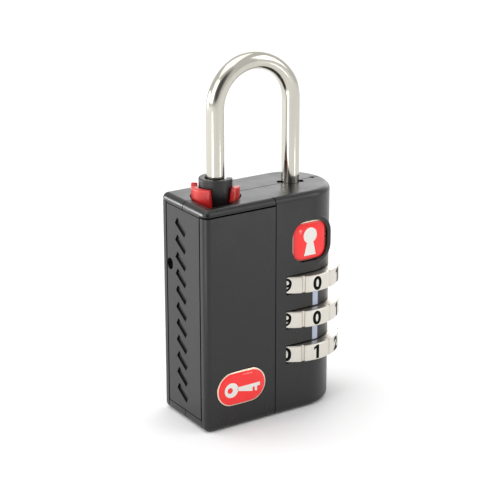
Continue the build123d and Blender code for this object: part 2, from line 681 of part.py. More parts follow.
def drive_shaft():
    """The shaft that carries the plug's turn up to the collar."""
    half = TANG / 2
    low = PLUG_TOP - TANG_LENGTH
    high = OPENING_FLOOR + TANG_LENGTH
    square = block(TOE_X - half, TOE_X + half, -half, half, low, high)
    return square + rod_z(TOE_X, 0, PLUG_TOP, OPENING_FLOOR + PLUG_GAP, SHAFT_RADIUS)


def toe_collar():
    """The slotted collar that holds the toe; the key turns its slot to face the swing."""
    low = OPENING_FLOOR + PLUG_GAP
    top = CASE_HEIGHT + COLLAR_RISE
    collar = rod_z(TOE_X, 0, low, top, COLLAR_RADIUS)
    collar = chamfer(collar.edges().filter_by(GeomType.CIRCLE).sort_by(Axis.Z)[-1], 0.25)
    seat = CASE_HEIGHT + TOE_END_GAP - FIT_GAP
    collar -= rod_z(TOE_X, 0, seat, top, COLLAR_BORE)
    half = COLLAR_SLOT / 2
    collar -= block(TOE_X, TOE_X + 2 * COLLAR_RADIUS, -half, half, seat, top)
    tang = TANG / 2
    return collar - block(TOE_X - tang, TOE_X + tang, -tang, tang, low, OPENING_FLOOR + TANG_LENGTH)


def sector(inner, outer, z0, z1, start, sweep_angle):
    """Part of a ring round the toe axis, from one angle on."""
    height = z1 - z0
    ring = Cylinder(outer, height) - Cylinder(inner, height)
    reach = 3 * outer
    rays = [radians(start + sweep_angle * i / 3) for i in range(4)]
    corners = [(0, 0)] + [(reach * cos(ray), reach * sin(ray)) for ray in rays]
    wedge = extrude(Polygon(*corners, align=None), height, both=True)
    return Pos(TOE_X, 0, (z0 + z1) / 2) * (ring & wedge)


def indicator_ring():
    """The red ring: a sleeve below the top face with two wings that show above it."""
    low = CASE_HEIGHT - INDICATOR_DEPTH
    shoulder = low + INDICATOR_BASE
    top = CASE_HEIGHT + INDICATOR_RISE
    ring = rod_z(TOE_X, 0, low, shoulder, INDICATOR_OUTER)
    ring -= rod_z(TOE_X, 0, low, shoulder, INDICATOR_INNER)
    for start, width in WINGS:
        ring += sector(INDICATOR_INNER, INDICATOR_OUTER, shoulder, top, start, width)
    horn_inner = INDICATOR_INNER + HORN_RISE
    start = WINGS[0][0]
    return ring + sector(horn_inner, INDICATOR_OUTER, shoulder, top + HORN_RISE, start, HORN_WIDTH)


def springs():
    """The three coil springs, each between its two seats."""
    ring_bottom = CASE_HEIGHT - INDICATOR_DEPTH
    shackle_spring = coil(DIAL_AXIS_X, 0, FLOOR, LEG_BOTTOM, *SHACKLE_SPRING)
    carriage_spring = coil(RAIL_X, 0, RAIL_TOP, CARRIAGE_ROOF, *CARRIAGE_SPRING)
    indicator_spring = coil(TOE_X, 0, OPENING_FLOOR, ring_bottom, *INDICATOR_SPRING)
    return shackle_spring, carriage_spring, indicator_spring


def build():
    """Every piece by name."""
    pieces = {}
    pieces["front_housing"], pieces["rear_housing"] = housings()
    pieces["front_cover"] = cover(True)
    pieces["rear_cover"] = cover(False)
    pieces["side_plate"] = side_plate()
    pieces["top_pin"] = top_pin()
    pieces["assembly_pins"] = assembly_pins()
    pieces["index_marks"] = Compound(index_boxes())
    plate, dome = badge(badge_shape(0), BADGE_X, DIAL_BADGE_Z, DIAL_BADGE_POCKET)
    pieces["dial_badge_plate"] = plate
    pieces["dial_badge_dome"] = dome
    plate, dome = badge(key_badge_shape(0), KEY_BADGE_CENTRE_X, KEY_BADGE_Z, KEY_BADGE_POCKET)
    pieces["key_badge_plate"] = plate
    pieces["key_badge_dome"] = dome
    pieces["shackle"] = shackle()
    pieces["stop_washer"] = stop_washer()
    for number, centre in enumerate(DIAL_CENTRES, start=1):
        pieces[f"dial_{number}"] = dial(centre)
        pieces[f"sleeve_{number}"] = sleeve(centre)
    pieces["detent_spring"] = detent_spring()
    pieces["reset_carriage"] = reset_carriage()
    pieces["reset_pin"] = reset_pin()
    pieces["key_cylinder_shell"] = key_cylinder_shell()
    pieces["key_plug"] = key_plug()
    pieces["key_wafers"] = key_wafers()
    pieces["plug_clip"] = plug_clip()
    pieces["drive_shaft"] = drive_shaft()
    pieces["toe_collar"] = toe_collar()
    pieces["indicator_ring"] = indicator_ring()
    names = ("shackle_spring", "carriage_spring", "indicator_spring")
    pieces.update(zip(names, springs()))
    return pieces


def main():
    """Write one STEP file for each piece."""
    os.makedirs("parts", exist_ok=True)
    for name, shape in build().items():
        export_step(shape, f"parts/{name}.step")


main()
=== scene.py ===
"""Finished look of a three-dial luggage padlock, built round its fixed frame."""
import json
import math

import bmesh
import bpy
import numpy as np
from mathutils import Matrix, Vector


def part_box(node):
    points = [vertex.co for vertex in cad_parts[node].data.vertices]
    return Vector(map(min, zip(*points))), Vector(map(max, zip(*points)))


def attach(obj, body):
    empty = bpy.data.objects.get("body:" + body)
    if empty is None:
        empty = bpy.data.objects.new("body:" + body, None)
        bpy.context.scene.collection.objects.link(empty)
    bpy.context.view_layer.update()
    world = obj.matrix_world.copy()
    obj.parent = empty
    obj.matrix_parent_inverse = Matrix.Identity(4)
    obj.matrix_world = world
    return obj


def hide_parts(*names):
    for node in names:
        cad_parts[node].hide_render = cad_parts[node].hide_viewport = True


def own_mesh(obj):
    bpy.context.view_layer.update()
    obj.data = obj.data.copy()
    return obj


bl_info = {
    "name": "Luggage padlock",
    "version": (1, 0, 0),
    "blender": (4, 5, 0),
    "location": "View3D > Sidebar > Padlock",
    "description": "Builds the padlock's wire, wheels, collar, indicator, badges, finishes and stage",
    "category": "Object",
}

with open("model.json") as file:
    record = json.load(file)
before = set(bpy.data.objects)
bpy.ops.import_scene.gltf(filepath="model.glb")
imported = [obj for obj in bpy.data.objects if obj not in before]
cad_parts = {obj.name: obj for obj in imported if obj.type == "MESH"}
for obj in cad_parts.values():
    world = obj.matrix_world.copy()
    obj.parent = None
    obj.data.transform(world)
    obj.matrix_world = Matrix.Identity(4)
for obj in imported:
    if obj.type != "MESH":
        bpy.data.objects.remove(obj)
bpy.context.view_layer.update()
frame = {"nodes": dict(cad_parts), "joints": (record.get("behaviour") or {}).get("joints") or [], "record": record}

MM = 0.001
NODES = frame["nodes"]
JOINTS = {joint["name"]: joint for joint in frame["joints"]}
WHEELS = ("dial_1", "dial_2", "dial_3")
SHOWN_DIGITS = {"dial_1": 0, "dial_2": 0, "dial_3": 1}
DIGIT_COUNT = 10
FRONT_ANGLE = -math.pi / 2

# places read from the frame, in metres
DIAL_X = JOINTS["dial_1_turn"]["pos_m"][0]
TOE_X = JOINTS["key_turn"]["pos_m"][0]
WIRE_LOW, WIRE_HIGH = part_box("shackle")
CASE_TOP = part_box("rear_housing")[1].z

# the wire's eased ends, and the gap that its toe keeps from the casing
TOE_GAP = 0.3 * MM
END_LENGTH = 0.45 * MM
END_DEPTH = 0.4 * MM

# the locking fins: half sizes and rounding of their outline, how far they reach, in millimetres
FIN_TURN = math.radians(155.0)
FIN_DROP = 1.75 * MM
FIN_HALF_WIDTH = 0.5
FIN_HALF_HEIGHT = 0.75
FIN_ROUNDING = 0.12
FIN_REACH = np.array([-2.2, -2.3, 2.3, 2.2]) * MM
FIN_SHRINK = np.array([0.8, 1.0, 1.0, 0.8])

# the number wheels: their bore, and where the grooves fade out under the rim
WHEEL_BORE = 4.15 * MM
WHEEL_BORE_EDGE = 0.05 * MM
GROOVE_FLOOR = 0.8 * MM
GROOVE_FADE = 0.4 * MM
EASING_STEPS = 6

# the indicator's wings and the left one's tip: middle, half width and softness, in degrees
LEFT_WING = (184.0, 44.0, 5.0)
RIGHT_WING = (309.0, 25.0, 14.0)
HORN = (146.0, 6.0, 6.0)
RING_EASE = 0.3

# the toe's collar
COLLAR_RIM_EASE = 0.28 * MM
COLLAR_FOOT_EASE = 0.2 * MM
COLLAR_SLOT_SOFTNESS = math.radians(3.0)
COLLAR_SLOT_FLOOR = 0.02 * MM

# the badges
BADGE_POWER = 4.6
KEY_SIGN_POWER = 3.0
SIGN_SHARE = 0.72
EDGE_STAND = 0.02 * MM
EDGE_RISE = 0.22 * MM
BADGE_BACK = 0.1 * MM

# each spring with the joint that squeezes it, its wire's radius in mm, its turns and the end that stays
SPRINGS = {
    "indicator_spring": ("indicator_slide", 0.18, 3, "low"),
    "carriage_spring": ("carriage_shift", 0.15, 5, "high"),
}

# each light with its place, its size, its power's setting and its turn, which is None when it faces the lock
LIGHTS = (
    ("key_light", (-0.10, 0.10, 0.62), (0.62, 0.62), "key_power", None),
    ("side_light", (-0.62, -0.02, 0.30), (0.5, 0.5), "side_power", None),
    ("fill_light", (0.5, -0.45, 0.35), (0.35, 0.5), "fill_power", None),
    ("back_light", (-0.50, 0.52, 0.10), (0.3, 0.16), "back_power", None),
    ("spark_light", (0.0603, -0.115, 0.006), (0.012, 0.012), "spark_power", None),
    ("bright_card", (-0.1375, -0.0627, 0.001), (0.050, 0.15), "card_power", (0.0, math.pi, -1.117)),
)
LIT_POINT = (0.0, 0.0, 0.03)
DIM_SKY = (-0.50, -0.80, 0.33)
BRIGHT_SKY = (0.74, 0.60, 0.30)
FLOOR_HALF = 3.0
FLOOR_DROP = 0.00002

# the camera: focal length in mm, place, how far it looks down and how far it is turned
FOCAL_LENGTH = 115.88
CAMERA_PLACE = (-0.155713 + DIAL_X, -0.225517, 0.123104)
CAMERA_DOWN = 19.167
CAMERA_TURN = -33.134


# ---- surfaces ----


def grid_mesh(name, points, close_rows=True, close_columns=False, sharp=40.0):
    """A mesh from a grid of points: each cell of rows and columns is one face, poles are welded."""
    rows, columns = points.shape[:2]
    index = np.arange(rows * columns).reshape(rows, columns)
    if close_rows:
        index = np.vstack([index, index[:1]])
    if close_columns:
        index = np.hstack([index, index[:, :1]])
    corners = (index[:-1, :-1], index[1:, :-1], index[1:, 1:], index[:-1, 1:])
    faces = np.stack(corners, axis=-1).reshape(-1, 4)
    mesh = bpy.data.meshes.new(name)
    mesh.from_pydata(points.reshape(-1, 3), [], faces)
    return welded(mesh, sharp)


def welded(mesh, sharp=40.0, weld=1e-7):
    """The mesh with doubles merged, normals out and smooth shading up to an angle."""
    work = bmesh.new()
    work.from_mesh(mesh)
    bmesh.ops.remove_doubles(work, verts=work.verts, dist=weld)
    bmesh.ops.dissolve_degenerate(work, dist=weld, edges=work.edges)
    bmesh.ops.recalc_face_normals(work, faces=work.faces)
    work.to_mesh(mesh)
    work.free()
    mesh.polygons.foreach_set("use_smooth", np.ones(len(mesh.polygons), dtype=bool))
    mesh.set_sharp_from_angle(angle=math.radians(sharp))
    return mesh


def rounded_outline(corners, radius, steps=5, closed=True):
    """A polyline with each corner p eased: p + a r (1-t)^2 + b r t^2, along its two sides a and b."""
    corners = np.asarray(corners, dtype=float)
    radii = np.broadcast_to(radius, len(corners))
    t = np.linspace(0, 1, steps + 1)[:, None]
    parts = []
    for i, (here, size) in enumerate(zip(corners, radii)):
        at_end = not closed and i in (0, len(corners) - 1)
        if at_end or size == 0:
            parts.append(here[None])
            continue
        back = corners[i - 1] - here
        ahead = corners[(i + 1) % len(corners)] - here
        reach = min(size, 0.49 * np.linalg.norm(back), 0.49 * np.linalg.norm(ahead))
        back *= reach / np.linalg.norm(back)
        ahead *= reach / np.linalg.norm(ahead)
        parts.append(here + back * (1 - t) ** 2 + ahead * t**2)
    return np.vstack(parts)


def turned(outline, angles, centre):
    """Points of an outline (r, z), one for all angles or one per angle, turned about a vertical axis."""
    outline = np.broadcast_to(outline, (len(angles),) + outline.shape[-2:])
    radius, height = outline[..., 0], outline[..., 1]
    x = centre[0] + radius * np.cos(angles)[:, None]
    y = centre[1] + radius * np.sin(angles)[:, None]
    return np.stack([x, y, height + centre[2]], axis=-1)


def full_turn(count):
    """Angles of one whole turn, without the repeated last one."""
    return np.arange(count) * (2 * math.pi / count)


def angle_gap(angles, middle):
    """The smallest turn between each angle and the middle one."""
    return np.abs((angles - middle + math.pi) % (2 * math.pi) - math.pi)


def smooth_step(value):
    """0 to 1 with level ends: 3v^2 - 2v^3 of the value held between 0 and 1."""
    value = np.clip(value, 0, 1)
    return value * value * (3 - 2 * value)


def soft_sector(angles, middle, half_width, softness):
    """1 inside a sector given in degrees and 0 outside it, with an eased step at each side."""
    gap = angle_gap(angles, math.radians(middle))
    return smooth_step((math.radians(half_width) - gap) / math.radians(softness))


def swept_wire(centres, normals, radii, around=48):
    """Circles carried along a path in the XZ plane: c + r (n cos a + Y sin a)."""
    angle = full_turn(around)[None, :, None]
    across = np.array([0.0, 1.0, 0.0])
    ring = normals[:, None] * np.cos(angle) + across * np.sin(angle)
    return centres[:, None] + radii[:, None, None] * ring


def coiled_wire(centre, low, high, radius, wire, turns, around=16):
    """Circles carried along a helix: c + w (n cos a + b sin a), n outwards and b across the wire."""
    turn = np.linspace(0, 2 * math.pi * turns, 48 * turns + 1)
    rise = (high - low - 2 * wire) / turn[-1]
    outwards = np.stack([np.cos(turn), np.sin(turn), np.zeros(len(turn))], axis=-1)
    ahead = np.stack([-radius * np.sin(turn), radius * np.cos(turn), np.full(len(turn), rise)], axis=-1)
    across = np.cross(ahead / np.linalg.norm(ahead, axis=1, keepdims=True), outwards)
    middle = np.array([centre[0], centre[1], low + wire]) + radius * outwards
    middle[:, 2] += rise * turn
    angle = full_turn(around)[None, :, None]
    return middle[:, None] + wire * (outwards[:, None] * np.cos(angle) + across[:, None] * np.sin(angle))


def capped(rings):
    """Rings with the middle of the first and of the last one added, which closes both ends."""
    ends = rings[[0, -1]].mean(axis=1, keepdims=True)
    first, last = np.repeat(ends, rings.shape[1], axis=1)
    return np.concatenate([first[None], rings, last[None]])


def superellipse(half_width, half_height, power, angles):
    """Outline |x/a|^n + |z/b|^n = 1, as x = a sgn(c)|c|^(2/n) and z likewise with the sine."""
    c, s = np.cos(angles), np.sin(angles)
    x = half_width * np.sign(c) * np.abs(c) ** (2 / power)
    z = half_height * np.sign(s) * np.abs(s) ** (2 / power)
    return x, z


def stadium(half_width, half_height, angles):
    """Outline of a slot: two half circles of the half height, apart by the rest of the width."""
    c, s = np.cos(angles), np.sin(angles)
    straight = half_width - half_height
    return np.sign(c) * straight * smooth_step(np.abs(c) * 6) + half_height * c, half_height * s


def piece(name, mesh, material, body, replaced=()):
    """A finished object at the origin that rides on a body and stands for CAD nodes."""
    thing = bpy.data.objects.new(name, mesh)
    bpy.context.scene.collection.objects.link(thing)
    mesh.materials.clear()
    mesh.materials.append(material)
    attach(thing, body)
    if replaced:
        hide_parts(*replaced)
    return thing


# ---- shader groups ----


def new_group(name, inputs, outputs):
    """A new shader group with its sockets, and its input and output nodes."""
    tree = bpy.data.node_groups.new(name, "ShaderNodeTree")
    for label, value in inputs.items():
        kind = "NodeSocketVector" if isinstance(value, tuple) else "NodeSocketFloat"
        socket = tree.interface.new_socket(label, in_out="INPUT", socket_type=kind)
        socket.default_value = value
    for label in outputs:
        tree.interface.new_socket(label, in_out="OUTPUT", socket_type="NodeSocketFloat")
    return tree, tree.nodes.new("NodeGroupInput"), tree.nodes.new("NodeGroupOutput")


def math_node(tree, operation, first, second=None, third=None):
    """A math node whose inputs are sockets or numbers; gives its output socket."""
    node = tree.nodes.new("ShaderNodeMath")
    node.operation = operation
    for slot, value in zip(node.inputs, (first, second, third)):
        if isinstance(value, bpy.types.NodeSocket):
            tree.links.new(value, slot)
        elif value is not None:
            slot.default_value = value
    return node.outputs[0]


def noise_node(tree, vector, scale, detail=3.0, roughness=0.5):
    """A noise texture on a vector; scale is a socket or a number."""
    node = tree.nodes.new("ShaderNodeTexNoise")
    node.inputs["Detail"].default_value = detail
    node.inputs["Roughness"].default_value = roughness
    tree.links.new(vector, node.inputs["Vector"])
    if isinstance(scale, bpy.types.NodeSocket):
        tree.links.new(scale, node.inputs["Scale"])
    else:
        node.inputs["Scale"].default_value = scale
    return node.outputs["Fac"]


def range_node(tree, value, low, high, to_low, to_high):
    """A value mapped from one range to another; the target ends may be sockets."""
    node = tree.nodes.new("ShaderNodeMapRange")
    tree.links.new(value, node.inputs["Value"])
    ends = {"From Min": low, "From Max": high, "To Min": to_low, "To Max": to_high}
    for label, end in ends.items():
        if isinstance(end, bpy.types.NodeSocket):
            tree.links.new(end, node.inputs[label])
        else:
            node.inputs[label].default_value = end
    return node.outputs["Result"]


def object_vector(tree, stretch=None):
    """Object coordinates, scaled by a vector socket where one is given."""
    coordinates = tree.nodes.new("ShaderNodeTexCoord").outputs["Object"]
    if stretch is None:
        return coordinates
    node = tree.nodes.new("ShaderNodeVectorMath")
    node.operation = "MULTIPLY"
    tree.links.new(coordinates, node.inputs[0])
    tree.links.new(stretch, node.inputs[1])
    return node.outputs["Vector"]


def fine_grain_group():
    """Fine moulded or sprayed grain: two noises, as a height, a mottle and a roughness."""
    inputs = {"Scale": 9000.0, "Smooth": 0.3, "Rough": 0.45}
    tree, given, made = new_group("fine_grain", inputs, ("Height", "Roughness", "Mottle"))
    vector = object_vector(tree)
    fine = noise_node(tree, vector, given.outputs["Scale"], 4.0, 0.6)
    broad_scale = math_node(tree, "MULTIPLY", given.outputs["Scale"], 0.035)
    broad = noise_node(tree, vector, broad_scale, 3.0, 0.55)
    mixed = math_node(tree, "MULTIPLY_ADD", fine, 0.35, math_node(tree, "MULTIPLY", broad, 0.65))
    ends = (given.outputs["Smooth"], given.outputs["Rough"])
    roughness = range_node(tree, mixed, 0.35, 0.65, *ends)
    tree.links.new(fine, made.inputs["Height"])
    tree.links.new(roughness, made.inputs["Roughness"])
    tree.links.new(broad, made.inputs["Mottle"])
    return tree


def brushed_group():
    """Polishing lines: noise stretched along one axis, as a height, a streak and a roughness."""
    inputs = {"Stretch": (1.0, 1.0, 1.0), "Smooth": 0.1, "Rough": 0.25}
    tree, given, made = new_group("brushed", inputs, ("Height", "Roughness", "Streak"))
    vector = object_vector(tree, given.outputs["Stretch"])
    lines = noise_node(tree, vector, 1.0, 5.0, 0.65)
    cloud = noise_node(tree, object_vector(tree), 260.0, 2.0, 0.5)
    mixed = math_node(tree, "MULTIPLY_ADD", cloud, 0.4, math_node(tree, "MULTIPLY", lines, 0.6))
    ends = (given.outputs["Smooth"], given.outputs["Rough"])
    tree.links.new(lines, made.inputs["Height"])
    tree.links.new(range_node(tree, mixed, 0.35, 0.65, *ends), made.inputs["Roughness"])
    tree.links.new(lines, made.inputs["Streak"])
    return tree


def handling_group():
    """Light handling: rare short scuffs where two noises meet, and specks of dust."""
    inputs = {"Scuffs": 0.5, "Dust": 0.5}
    tree, given, made = new_group("handling", inputs, ("Scuff", "Dust"))
    stretched = tree.nodes.new("ShaderNodeMapping")
    stretched.inputs["Rotation"].default_value = (0.4, 0.9, 0.3)
    stretched.inputs["Scale"].default_value = (300.0, 2600.0, 500.0)
    tree.links.new(object_vector(tree), stretched.inputs["Vector"])
    line = noise_node(tree, stretched.outputs["Vector"], 1.0, 2.0, 0.4)
    patch = noise_node(tree, object_vector(tree), 180.0, 2.0, 0.5)
    rare = range_node(tree, patch, 0.58, 0.7, 0.0, 1.0)
    sharp = range_node(tree, line, 0.66, 0.74, 0.0, given.outputs["Scuffs"])
    tree.links.new(math_node(tree, "MULTIPLY", rare, sharp), made.inputs["Scuff"])
    speck = noise_node(tree, object_vector(tree), 2600.0, 1.0, 0.3)
    dust = range_node(tree, speck, 0.74, 0.8, 0.0, given.outputs["Dust"])
    tree.links.new(dust, made.inputs["Dust"])
    return tree


GROUP_MAKERS = {
    "fine_grain": fine_grain_group,
    "brushed": brushed_group,
    "handling": handling_group,
}


def use_group(tree, name, **values):
    """A shared group placed in a material with its own values."""
    node = tree.nodes.new("ShaderNodeGroup")
    node.node_tree = bpy.data.node_groups.get(name) or GROUP_MAKERS[name]()
    for label, value in values.items():
        node.inputs[label].default_value = value
    return node


def new_material(name, **sockets):
    """A material whose Principled BSDF has the given values on its own sockets."""
    material = bpy.data.materials.new(name)
    material.use_nodes = True
    shader = material.node_tree.nodes["Principled BSDF"]
    for label, value in sockets.items():
        shader.inputs[label.replace("_", " ")].default_value = value
    return material, material.node_tree, shader


def shade_mix(tree, mask, first, second):
    """A colour between two colours, by a mask socket."""
    node = tree.nodes.new("ShaderNodeMix")
    node.data_type = "RGBA"
    tree.links.new(mask, node.inputs["Factor"])
    for slot, colour in zip((node.inputs[6], node.inputs[7]), (first, second)):
        if isinstance(colour, bpy.types.NodeSocket):
            tree.links.new(colour, slot)
        else:
            slot.default_value = (*colour[:3], 1.0)
    return node.outputs[2]


def add_bump(tree, shader, height, distance, strength=0.5):
    """A bump from a height, in metres, on the shader's normal."""
    node = tree.nodes.new("ShaderNodeBump")
    node.inputs["Distance"].default_value = distance
    node.inputs["Strength"].default_value = strength
    tree.links.new(height, node.inputs["Height"])
    tree.links.new(node.outputs["Normal"], shader.inputs["Normal"])


def tinted(colour, factor):
    """A colour made lighter or darker by a factor."""
    return tuple(min(1.0, channel * factor) for channel in colour[:3])


# ---- finishes ----


def satin_paint(name, colour, smooth, rough, bump):
    """Dark satin coating with a fine grain, faint mottle, scuffs and dust."""
    material, tree, shader = new_material(name, Specular_IOR_Level=0.5)
    grain = use_group(tree, "fine_grain", Scale=7000.0, Smooth=smooth, Rough=rough)
    marks = use_group(tree, "handling", Scuffs=0.35, Dust=0.3)
    base = shade_mix(tree, grain.outputs["Mottle"], tinted(colour, 0.86), tinted(colour, 1.16))
    worn = shade_mix(tree, marks.outputs["Scuff"], base, tinted(colour, 3.0))
    dusty = shade_mix(tree, marks.outputs["Dust"], worn, tinted(colour, 4.0))
    tree.links.new(dusty, shader.inputs["Base Color"])
    tree.links.new(grain.outputs["Roughness"], shader.inputs["Roughness"])
    add_bump(tree, shader, grain.outputs["Height"], bump)
    return material


def polished_metal(name, colour, stretch, smooth, rough, bump):
    """Bright metal with polishing lines along one axis and slight tone changes."""
    material, tree, shader = new_material(name, Metallic=1.0)
    lines = use_group(tree, "brushed", Stretch=stretch, Smooth=smooth, Rough=rough)
    base = shade_mix(tree, lines.outputs["Streak"], tinted(colour, 0.9), tinted(colour, 1.08))
    tree.links.new(base, shader.inputs["Base Color"])
    tree.links.new(lines.outputs["Roughness"], shader.inputs["Roughness"])
    add_bump(tree, shader, lines.outputs["Height"], bump, 0.3)
    return material


def gloss_plastic(name, colour, smooth, rough, coat=0.0, bump=0.000002, shine=0.5):
    """Moulded or enamelled colour with a soft mottle and, where given, a clear coat."""
    sockets = {"Coat_Weight": coat, "Coat_Roughness": 0.04, "Specular_IOR_Level": shine - 0.4 * coat}
    material, tree, shader = new_material(name, **sockets)
    grain = use_group(tree, "fine_grain", Scale=2600.0, Smooth=smooth, Rough=rough)
    base = shade_mix(tree, grain.outputs["Mottle"], tinted(colour, 0.9), tinted(colour, 1.08))
    tree.links.new(base, shader.inputs["Base Color"])
    tree.links.new(grain.outputs["Roughness"], shader.inputs["Roughness"])
    add_bump(tree, shader, grain.outputs["Height"], bump, 0.25)
    return material


FINISHES = {}


def colour_setting(label, text, default):
    """A colour setting."""
    return bpy.props.FloatVectorProperty(
        name=label, description=text, subtype="COLOR", size=3, min=0.0, max=1.0, default=default
    )


def length_setting(label, text, millimetres):
    """A length setting, given here in millimetres."""
    return bpy.props.FloatProperty(
        name=label, description=text, subtype="DISTANCE", unit="LENGTH", default=millimetres * MM, precision=5
    )


def number_setting(label, text, default):
    """A plain number setting."""
    return bpy.props.FloatProperty(name=label, description=text, default=default)


class PadlockColours(bpy.types.PropertyGroup):
    """Colours of the padlock's finishes."""

    coating: colour_setting("Coating", "Satin coating of the casing", (0.0038, 0.0038, 0.0041))
    collar: colour_setting("Collar", "Dark collar at the toe", (0.010, 0.010, 0.011))
    wire: colour_setting("Wire", "Polished shackle wire", (0.55, 0.53, 0.47))
    wheel: colour_setting("Wheel", "Satin plating of the wheels", (0.67, 0.64, 0.58))
    ink: colour_setting("Ink", "Filled digits", (0.002, 0.002, 0.002))
    indicator: colour_setting("Indicator", "Red of the indicator ring", (0.54, 0.020, 0.018))
    enamel: colour_setting("Enamel", "Red of the badges", (0.95, 0.012, 0.012))
    pictogram: colour_setting("Pictogram", "White of the badges' signs", (0.80, 0.79, 0.74))
    badge_edge: colour_setting("Badge edge", "Pale metal edge of the badges", (0.80, 0.66, 0.52))
    index: colour_setting("Index", "Pale index strips", (0.50, 0.55, 0.70))
    steel: colour_setting("Steel", "Pins, washer and springs", (0.55, 0.55, 0.56))
    brass: colour_setting("Brass", "Key cylinder and sleeves", (0.78, 0.58, 0.27))


class WheelSizes(bpy.types.PropertyGroup):
    """Sizes of the number wheels' finish."""

    groove_depth: length_setting("Groove depth", "Depth of the groove between two digits", 0.34)
    groove_width: length_setting("Groove width", "Width of the groove between two digits", 0.62)
    edge: length_setting("Edge", "Easing of the wheel's rims", 0.22)
    digit_height: length_setting("Digit height", "Height of the digits", 2.62)
    digit_lift: length_setting("Digit lift", "How far the filled digits stand off the rim", 0.012)
    digit_turn: number_setting("Digit turn", "Turn of the digits back from the front, in degrees", 1.2)
    digit_weight: number_setting("Digit weight", "Added stroke, as a share of the type size", 0.04)


class CollarSizes(bpy.types.PropertyGroup):
    """Sizes of the toe's collar and of the indicator ring round it."""

    bore: length_setting("Bore", "Radius of the collar's bore", 1.85)
    seat: length_setting("Seat", "Bottom of the bore above the casing's top", 0.15)
    slot: length_setting("Slot", "Half width of the collar's slot", 1.7)
    inner: length_setting("Ring bore", "Inner radius of the indicator ring", 3.1)
    base: length_setting("Ring base", "Height of the ring's closed part", 1.0)
    horn: length_setting("Horn", "How far the left wing's tip stands over the wings", 0.4)


class BadgeSizes(bpy.types.PropertyGroup):
    """Sizes of the two badges."""

    edge: length_setting("Edge", "Width of the metal edge", 0.2)
    rise: length_setting("Rise", "Height of the clear dome", 0.42)
    sign_lift: length_setting("Sign lift", "How far the sign stands off the enamel", 0.008)


class StageSettings(bpy.types.PropertyGroup):
    """Light and floor."""

    floor: colour_setting("Floor", "Pale floor", (0.86, 0.86, 0.86))
    key_power: number_setting("Key light", "Power of the large light above, in watts", 1.5)
    side_power: number_setting("Side light", "Power of the light at the left, in watts", 1.6)
    fill_power: number_setting("Fill light", "Power of the light at the right, in watts", 1.0)
    card_power: number_setting("Card", "Power of the small bright card on the floor, in watts", 0.06)
    spark_power: number_setting("Spark", "Power of the small light low in front, in watts", 0.0022)
    back_power: number_setting("Back light", "Power of the low light behind at the left, in watts", 2.8)
    sky: number_setting("Sky", "Strength of the even light behind and above", 0.84)
    sky_back: number_setting("Back sky", "Added strength of the sky low behind at the right", 1.9)
    sky_front: number_setting("Front sky", "Strength of the sky on the camera's side", 0.12)


# ---- operators ----


class PADLOCK_OT_finishes(bpy.types.Operator):
    """Make every finish and put it on the frame's own nodes"""

    bl_idname = "padlock.finishes"
    bl_label = "Finishes"

    def execute(self, context):
        tone = context.scene.padlock_colours
        FINISHES["coating"] = satin_paint("satin_coating", tone.coating, 0.26, 0.38, 0.000012)
        FINISHES["collar"] = satin_paint("collar_coating", tone.collar, 0.30, 0.42, 0.000008)
        wire = (1400.0, 1400.0, 60.0)
        FINISHES["wire"] = polished_metal("polished_wire", tone.wire, wire, 0.10, 0.17, 0.000002)
        turned_lines = (3600.0, 3600.0, 160.0)
        FINISHES["wheel"] = polished_metal("plated_wheel", tone.wheel, turned_lines, 0.26, 0.38, 0.000004)
        FINISHES["ink"] = gloss_plastic("digit_ink", tone.ink, 0.5, 0.65, shine=0.1)
        FINISHES["indicator"] = gloss_plastic("indicator_red", tone.indicator, 0.28, 0.4, 0.2)
        FINISHES["enamel"] = gloss_plastic("badge_enamel", tone.enamel, 0.3, 0.4, 1.0)
        FINISHES["pictogram"] = gloss_plastic("badge_sign", tone.pictogram, 0.3, 0.4, 1.0)
        edge = (900.0, 900.0, 900.0)
        FINISHES["badge_edge"] = polished_metal("badge_edge_metal", tone.badge_edge, edge, 0.2, 0.3, 0.000002)
        FINISHES["index"] = gloss_plastic("index_strip", tone.index, 0.4, 0.5)
        even = (700.0, 700.0, 700.0)
        FINISHES["steel"] = polished_metal("plain_steel", tone.steel, even, 0.25, 0.4, 0.000003)
        FINISHES["brass"] = polished_metal("cylinder_brass", tone.brass, even, 0.25, 0.4, 0.000003)
        by_slot = {
            "case": "coating",
            "collar_black": "collar",
            "shackle_steel": "wire",
            "dial": "wheel",
            "indicator_red": "indicator",
            "badge_red": "enamel",
            "badge_metal": "badge_edge",
            "index": "index",
            "steel": "steel",
            "spring_steel": "steel",
            "brass": "brass",
        }
        for part in frame["record"]["subparts"]:
            thing = NODES[part["node"]]
            if not thing.material_slots:
                thing.data.materials.append(None)
            for slot in thing.material_slots:
                slot.material = FINISHES[by_slot[part["material_slot"]]]
        return {"FINISHED"}


